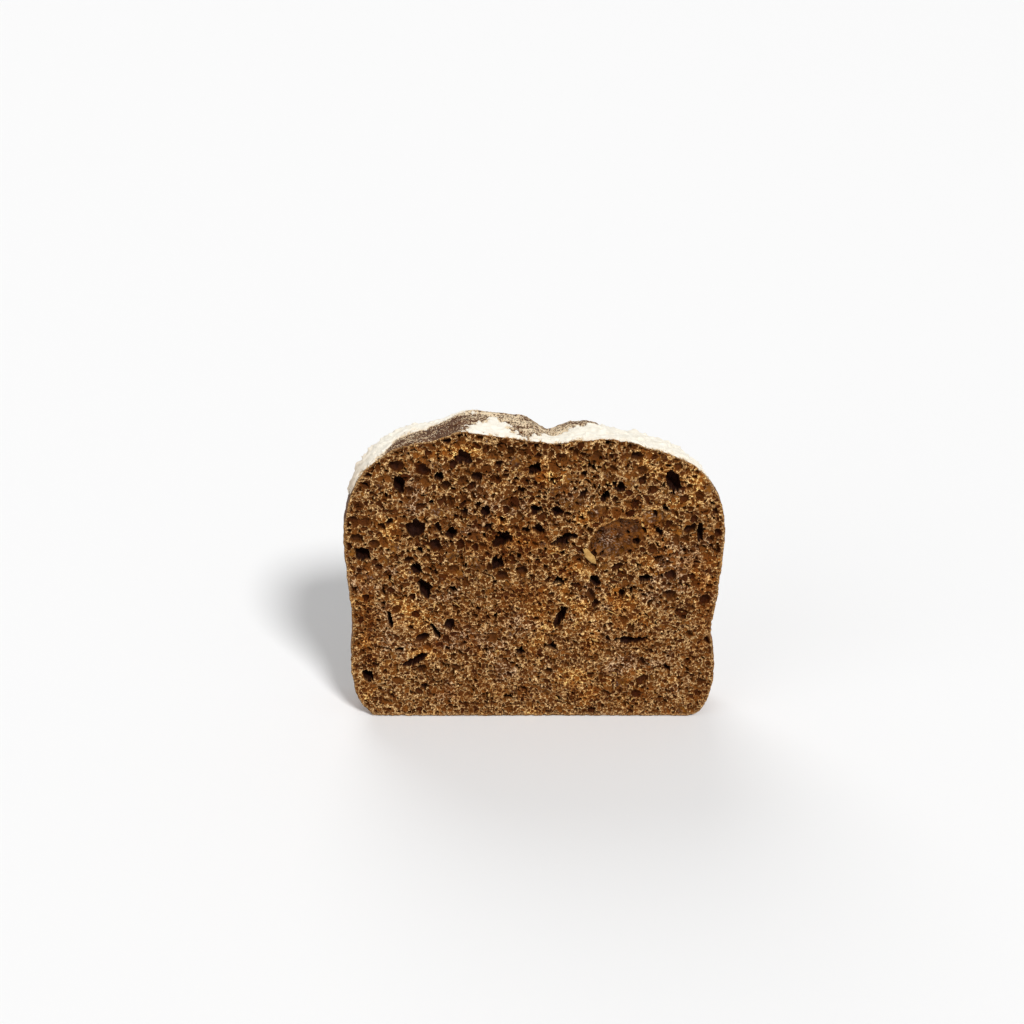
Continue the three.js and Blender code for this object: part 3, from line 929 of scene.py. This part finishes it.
def scatter_bran(random):
    """Bran in both cuts, the pieces that catch the eye on the front one first."""
    flakes = []
    for x, z, long, wide, turn in FRONT_FLAKES:
        flakes.append((x + SHIFT_X, z, long, wide, math.radians(turn), 0.12, -1))
    for side in [-1] * FLAKES_TRIED + [1] * FLAKES_TRIED:
        x, z = random.uniform(-46, 46), random.uniform(5, 82)
        shape = random.uniform(0.25, 0.8), random.uniform(0.12, 0.35)
        turn, tilt = random.uniform(0, math.pi), random.normal(0, 0.4)
        over_hole = min(math.hypot(x - SHIFT_X - hole[0], z - hole[1]) for hole in FRONT_HOLES) < 3.6
        if (abs(x) < 36 or z < 70) and not over_hole:
            flakes.append((x, z, *shape, turn, tilt, side))
    places, sizes, ways = [], [], []
    for x, z, long, wide, turn, tilt, side in flakes:
        along = np.array([math.cos(turn), 0, math.sin(turn)])
        face = np.array([0, side, 0]) + tilt * np.array([math.sin(turn), 0, -math.cos(turn)])
        face /= np.linalg.norm(face)
        bow = cut_bow(x, z, FRONT_BOW if side < 0 else BACK_BOW)
        places.append((x, side * (HALF - bow - 0.06), z))
        sizes.append((long, wide, 0.14))
        ways.append(np.stack([along, np.cross(face, along), face], -1))
    return bran_piece(np.array(places), np.array(sizes), np.array(ways), random)


# ---- materials ----
class Nodes:
    """Builds a material's nodes."""

    def __init__(self, name):
        self.material = bpy.data.materials.new(name)
        self.material.use_nodes = True
        self.tree = self.material.node_tree
        self.shader = self.tree.nodes["Principled BSDF"]

    def new(self, kind, inputs=(), **settings):
        node = self.tree.nodes.new(kind)
        for key, value in settings.items():
            setattr(node, key, value)
        for key, value in dict(inputs).items():
            self.put(node.inputs[key], value)
        return node

    def put(self, socket, value):
        if isinstance(value, bpy.types.NodeSocket):
            self.tree.links.new(value, socket)
        else:
            socket.default_value = value

    def value(self, name):
        return self.new("ShaderNodeAttribute", attribute_name=name).outputs["Fac"]

    def math(self, operation, *values):
        return self.new("ShaderNodeMath", dict(enumerate(values)), operation=operation).outputs[0]

    def times(self, one, other):
        return self.math("MULTIPLY", one, other)

    def ramp(self, value, low, high, start=0.0, end=1.0):
        """value from low to high, turned into start to end."""
        inputs = {"Value": value, "From Min": low, "From Max": high, "To Min": start, "To Max": end}
        return self.new("ShaderNodeMapRange", inputs, clamp=True).outputs["Result"]

    def mix(self, share, one, other, blend="MIX"):
        node = self.new("ShaderNodeMix", data_type="RGBA", blend_type=blend, clamp_result=True)
        self.put(node.inputs["Factor"], share)
        for socket, colour in ((node.inputs[6], one), (node.inputs[7], other)):
            self.put(socket, colour if isinstance(colour, bpy.types.NodeSocket) else (*colour, 1))
        return node.outputs[2]

    def noise(self, size, detail=3.0, roughness=0.55, squeeze=(1, 1, 1)):
        """Noise from 0 to 1 with lumps of about size millimetres. squeeze under 1 draws them out."""
        place = self.new("ShaderNodeTexCoord").outputs["Object"]
        place = self.new("ShaderNodeVectorMath", {0: place, 1: squeeze}, operation="MULTIPLY").outputs[0]
        inputs = {"Vector": place, "Scale": 1 / (size * MM), "Detail": detail, "Roughness": roughness}
        return self.new("ShaderNodeTexNoise", inputs).outputs["Fac"]

    def bump(self, height, strength, distance):
        inputs = {"Height": height, "Strength": strength, "Distance": distance * MM}
        return self.new("ShaderNodeBump", inputs).outputs["Normal"]

    def finish(self, **inputs):
        """The material, with the shader's inputs set. A colour is a tuple of three."""
        for key, value in inputs.items():
            if isinstance(value, tuple):
                value = (*value, 1)
            self.put(self.shader.inputs[key.replace("_", " ")], value)
        return self.material


def pore_colour(n, deep, film):
    """Brown pores, darker where deep as painted shade, and a glaze with painted glints where a film closes
    them.
    """
    pore = n.mix(n.math("POWER", n.value("tone"), 1.6), (0.060, 0.0140, 0.002), (0.228, 0.077, 0.013))
    # darker with depth: partly the inner walls' own deeper brown, mostly painted shade of deep pores
    pore = n.mix(n.ramp(deep, 0.8, 2.5), pore, (0.027, 0.0085, 0.0048))
    glaze = n.mix(n.ramp(n.noise(1.7, 3), 0.38, 0.64), (0.052, 0.015, 0.001), (0.26, 0.098, 0.010))
    # painted highlight: pale lavender specks on the glaze stand in for glints, thickest where the glint
    # value is high
    glint_share = n.math("MAXIMUM", n.value("glint"), n.ramp(n.noise(2.4, 1), 0.5, 0.64, 0.0, 0.25))
    painted_glints = n.times(n.ramp(n.noise(0.55, 1), 0.52, 0.62), glint_share)
    glaze = n.mix(painted_glints, glaze, (0.62, 0.48, 0.40))
    pore = n.mix(n.times(film, 0.9), pore, glaze)
    uneven = n.mix(n.ramp(n.noise(0.5, 2), 0.35, 0.65), (0.5, 0.5, 0.5), (1.45, 1.45, 1.45))
    return n.mix(n.ramp(film, 0, 1, 1.0, 0.3), pore, uneven, "MULTIPLY")


def crumb_material():
    n = Nodes("crumb")
    deep, top, film = n.value("deep"), n.value("top"), n.value("film")
    fine, middling = n.noise(0.29, 1.2, 0.6), n.noise(1.6, 3)
    pore = pore_colour(n, deep, film)
    # the wall tops' own pale tan; their brightest specks, up to full white-gold, are partly painted
    # highlight
    crest = n.mix(n.ramp(n.noise(0.9, 2), 0.38, 0.62), (0.27, 0.104, 0.019), (1.0, 0.67, 0.31))
    rim = n.mix(n.ramp(fine, 0.41, 0.59, 0.06, 1.0), (0.096, 0.028, 0.0045), crest)
    shallow = n.ramp(deep, 0.25, 0.9, 1.0, 0.0)
    lit = n.times(n.math("POWER", top, 1.4), n.math("MAXIMUM", shallow, 0.25))
    lit = n.times(lit, n.ramp(n.value("rust"), 0, 1, 1, 0.75))
    colour = n.mix(lit, pore, rim)
    colour = n.mix(n.ramp(middling, 0.35, 0.7, 0.0, 0.42), colour, (0.50, 0.40, 0.28), "MULTIPLY")
    colour = n.mix(n.times(n.value("rust"), 0.8), colour, (0.85, 0.66, 0.42), "MULTIPLY")
    colour = n.mix(n.times(n.value("gold"), 0.8), colour, (1.65, 1.58, 1.2), "MULTIPLY")
    grey = n.times(n.value("grey"), n.ramp(film, 0, 1, 0.7, 0.1))
    colour = n.mix(grey, colour, (0.95, 1.05, 1.6), "MULTIPLY")
    brim = n.times(n.value("brim"), n.ramp(middling, 0.35, 0.6, 0.25, 0.8))
    colour = n.mix(brim, colour, n.mix(n.ramp(fine, 0.4, 0.6), (0.20, 0.085, 0.022), (0.55, 0.32, 0.13)))
    rough = n.ramp(film, 0.0, 1.0, 0.6, 0.24)
    small = n.times(n.noise(0.45, 2), n.ramp(film, 0, 1, 1.0, 0.25))
    large = n.times(n.noise(1.1, 1), film)
    bump = n.bump(n.math("ADD", small, large), n.ramp(film, 0, 1, 0.5, 1.0), 0.3)
    shine = n.ramp(film, 0.0, 1.0, 0.04, 0.1)
    return n.finish(Base_Color=colour, Roughness=rough, Specular_IOR_Level=shine, Normal=bump)


def crust_material():
    n = Nodes("crust")
    high, pit, dust, across = n.value("high"), n.value("pit"), n.value("dust"), n.value("across")
    fine, middling, wide = n.noise(0.35, 3), n.noise(1.5, 3), n.noise(9, 3)
    height = n.math("ADD", high, n.ramp(wide, 0.3, 0.7, -7, 7))
    dark = n.mix(n.ramp(middling, 0.3, 0.7), (0.050, 0.017, 0.0055), (0.135, 0.053, 0.019))
    side = n.mix(n.ramp(middling, 0.3, 0.7), (0.13, 0.05, 0.018), (0.30, 0.13, 0.045))
    low = n.mix(n.ramp(middling, 0.3, 0.7), (0.20, 0.085, 0.03), (0.40, 0.20, 0.08))
    colour = n.mix(n.ramp(height, 2, 28), low, side)
    colour = n.mix(n.ramp(height, 52, 72), colour, dark)
    # painted shade: the crust's pits darken towards black with their depth
    colour = n.mix(n.ramp(pit, 0.05, 0.4, 0.0, 0.75), colour, (0.03, 0.011, 0.005))
    streak = n.ramp(n.noise(1.8, 2, 0.6, (0.6, 1, 0.8)), 0.3, 0.7, -0.13, 0.13)
    grains = n.math("ADD", n.noise(0.52, 1, 0.5, (1, 0.5, 0.8)), streak)
    cover = n.ramp(n.math("ADD", grains, n.ramp(dust, 0, 1, -0.16, 0.18)), 0.54, 0.6)
    powder = n.mix(n.ramp(n.math("ADD", dust, streak), 0.3, 0.85), (0.40, 0.262, 0.14), (0.84, 0.68, 0.47))
    colour = n.mix(n.times(cover, n.ramp(dust, 0.02, 0.25)), colour, powder)
    rim = n.mix(n.ramp(fine, 0.3, 0.7), (0.24, 0.11, 0.035), (0.52, 0.31, 0.13))
    colour = n.mix(n.ramp(across, HALF - 0.4, HALF - 0.1, 0.0, 0.85), colour, rim)
    rough = n.ramp(fine, 0.2, 0.8, 0.45, 0.72)
    bump = n.bump(n.noise(0.4, 3), 0.5, 0.09)
    return n.finish(Base_Color=colour, Roughness=rough, Specular_IOR_Level=0.1, Normal=bump)


def flour_material():
    n = Nodes("flour")
    colour = n.mix(n.ramp(n.noise(1.8, 3), 0.3, 0.7), (0.82, 0.755, 0.63), (0.90, 0.86, 0.765))
    # the flour goes warmer and darker where it is thin, and on the left shoulder as painted shade
    thin = n.times(n.value("thin"), n.ramp(n.noise(0.9, 2), 0.3, 0.6, 0.5, 1.0))
    colour = n.mix(thin, colour, (0.70, 0.57, 0.43))
    bump = n.bump(n.noise(0.3, 3), 0.4, 0.08)
    return n.finish(Base_Color=colour, Roughness=0.95, Normal=bump)


def dust_material():
    n = Nodes("dust")
    colour = n.mix(n.ramp(n.noise(1.2, 3), 0.35, 0.65), (0.48, 0.33, 0.18), (0.86, 0.74, 0.54))
    colour = n.mix(n.value("pale"), colour, (0.90, 0.87, 0.80))
    return n.finish(Base_Color=colour, Roughness=0.95)


def bran_material():
    n = Nodes("bran")
    colour = n.mix(n.ramp(n.noise(1.0, 3), 0.3, 0.7), (0.34, 0.18, 0.05), (0.60, 0.36, 0.12))
    bump = n.bump(n.noise(0.3, 2), 0.4, 0.05)
    return n.finish(Base_Color=colour, Roughness=0.7, Specular_IOR_Level=0.1, Normal=bump)


# ---- the stage ----
def soft_sun(name, place, strength, spread):
    """Even light from the direction of place. spread is the light's angle in degrees."""
    light = bpy.data.lights.new(name, "SUN")
    light.energy, light.angle = strength, math.radians(spread)
    lamp = bpy.data.objects.new(name, light)
    lamp.rotation_euler = Vector(place).to_track_quat("Z", "Y").to_euler()
    bpy.context.scene.collection.objects.link(lamp)


def stage():
    half = 4.0
    corners = [(-half, -half, 0), (half, -half, 0), (half, half, 0), (-half, half, 0)]
    floor = mesh_object("floor", np.array(corners) / MM, np.array([[0, 1, 2, 3]]), False)
    floor.location.z = -0.0002  # just under the slice
    n = Nodes("floor")
    floor.data.materials.append(n.finish(Base_Color=(0.86, 0.86, 0.86), Roughness=0.9))
    world = bpy.data.worlds.new("studio")
    world.use_nodes = True
    background = world.node_tree.nodes["Background"]
    background.inputs["Color"].default_value = (1, 1, 1, 1)
    background.inputs["Strength"].default_value = 0.3
    bpy.context.scene.world = world
    soft_sun("key", (0.3, -0.6, 0.66), 2.57, 12)
    soft_sun("fill", (-0.7, -0.6, 0.4), 0.45, 50)
    soft_sun("back", (-0.2, 0.6, 0.6), 0.9, 40)


def camera():
    data = bpy.data.cameras.new("camera")
    data.lens, data.sensor_width = 60, 36
    data.clip_start, data.clip_end = 0.01, 20
    seen_from = bpy.data.objects.new("camera", data)
    seen_from.location = ((-6.12 + SHIFT_X) * MM, -0.42587, 0.27343)
    seen_from.rotation_euler = (math.radians(90 - 26.4), 0, 0)
    bpy.context.scene.collection.objects.link(seen_from)
    bpy.context.scene.camera = seen_from


# ---- the slice ----
def build():
    grid = crust_grid(np.random.default_rng(SEED))
    grid.update(flour_fields(grid))
    crust = crust_piece(grid)
    front_edge, back_edge = (grid["places"][row][:, [0, 2]] for row in (0, -1))
    front = cut_piece("crumb_front", front_edge, FRONT_HOLES, FRONT_POCKETS, TINTS, -1, SEED + 1, FRONT_BOW)
    behind = cut_piece("crumb_back", back_edge, [], BACK_POCKETS, {}, 1, SEED + 2, BACK_BOW)
    flour = flour_piece(grid)
    dust = flour_dust(grid, np.random.default_rng(SEED + 3))
    bran = scatter_bran(np.random.default_rng(SEED + 4))
    crumb = crumb_material()
    for piece, material, slot in (
        (crust, crust_material(), "crust"),
        (front, crumb, "crumb"),
        (behind, crumb, "crumb"),
        (flour, flour_material(), "flour"),
        (dust, dust_material(), "flour"),
        (bran, bran_material(), "grain"),
    ):
        piece.data.materials.append(material)
        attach(piece, "root")
    for piece in (crust, front, behind):
        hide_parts("bread_slice")


build()
stage()
camera()
bpy.context.scene.view_settings.view_transform = "Standard"
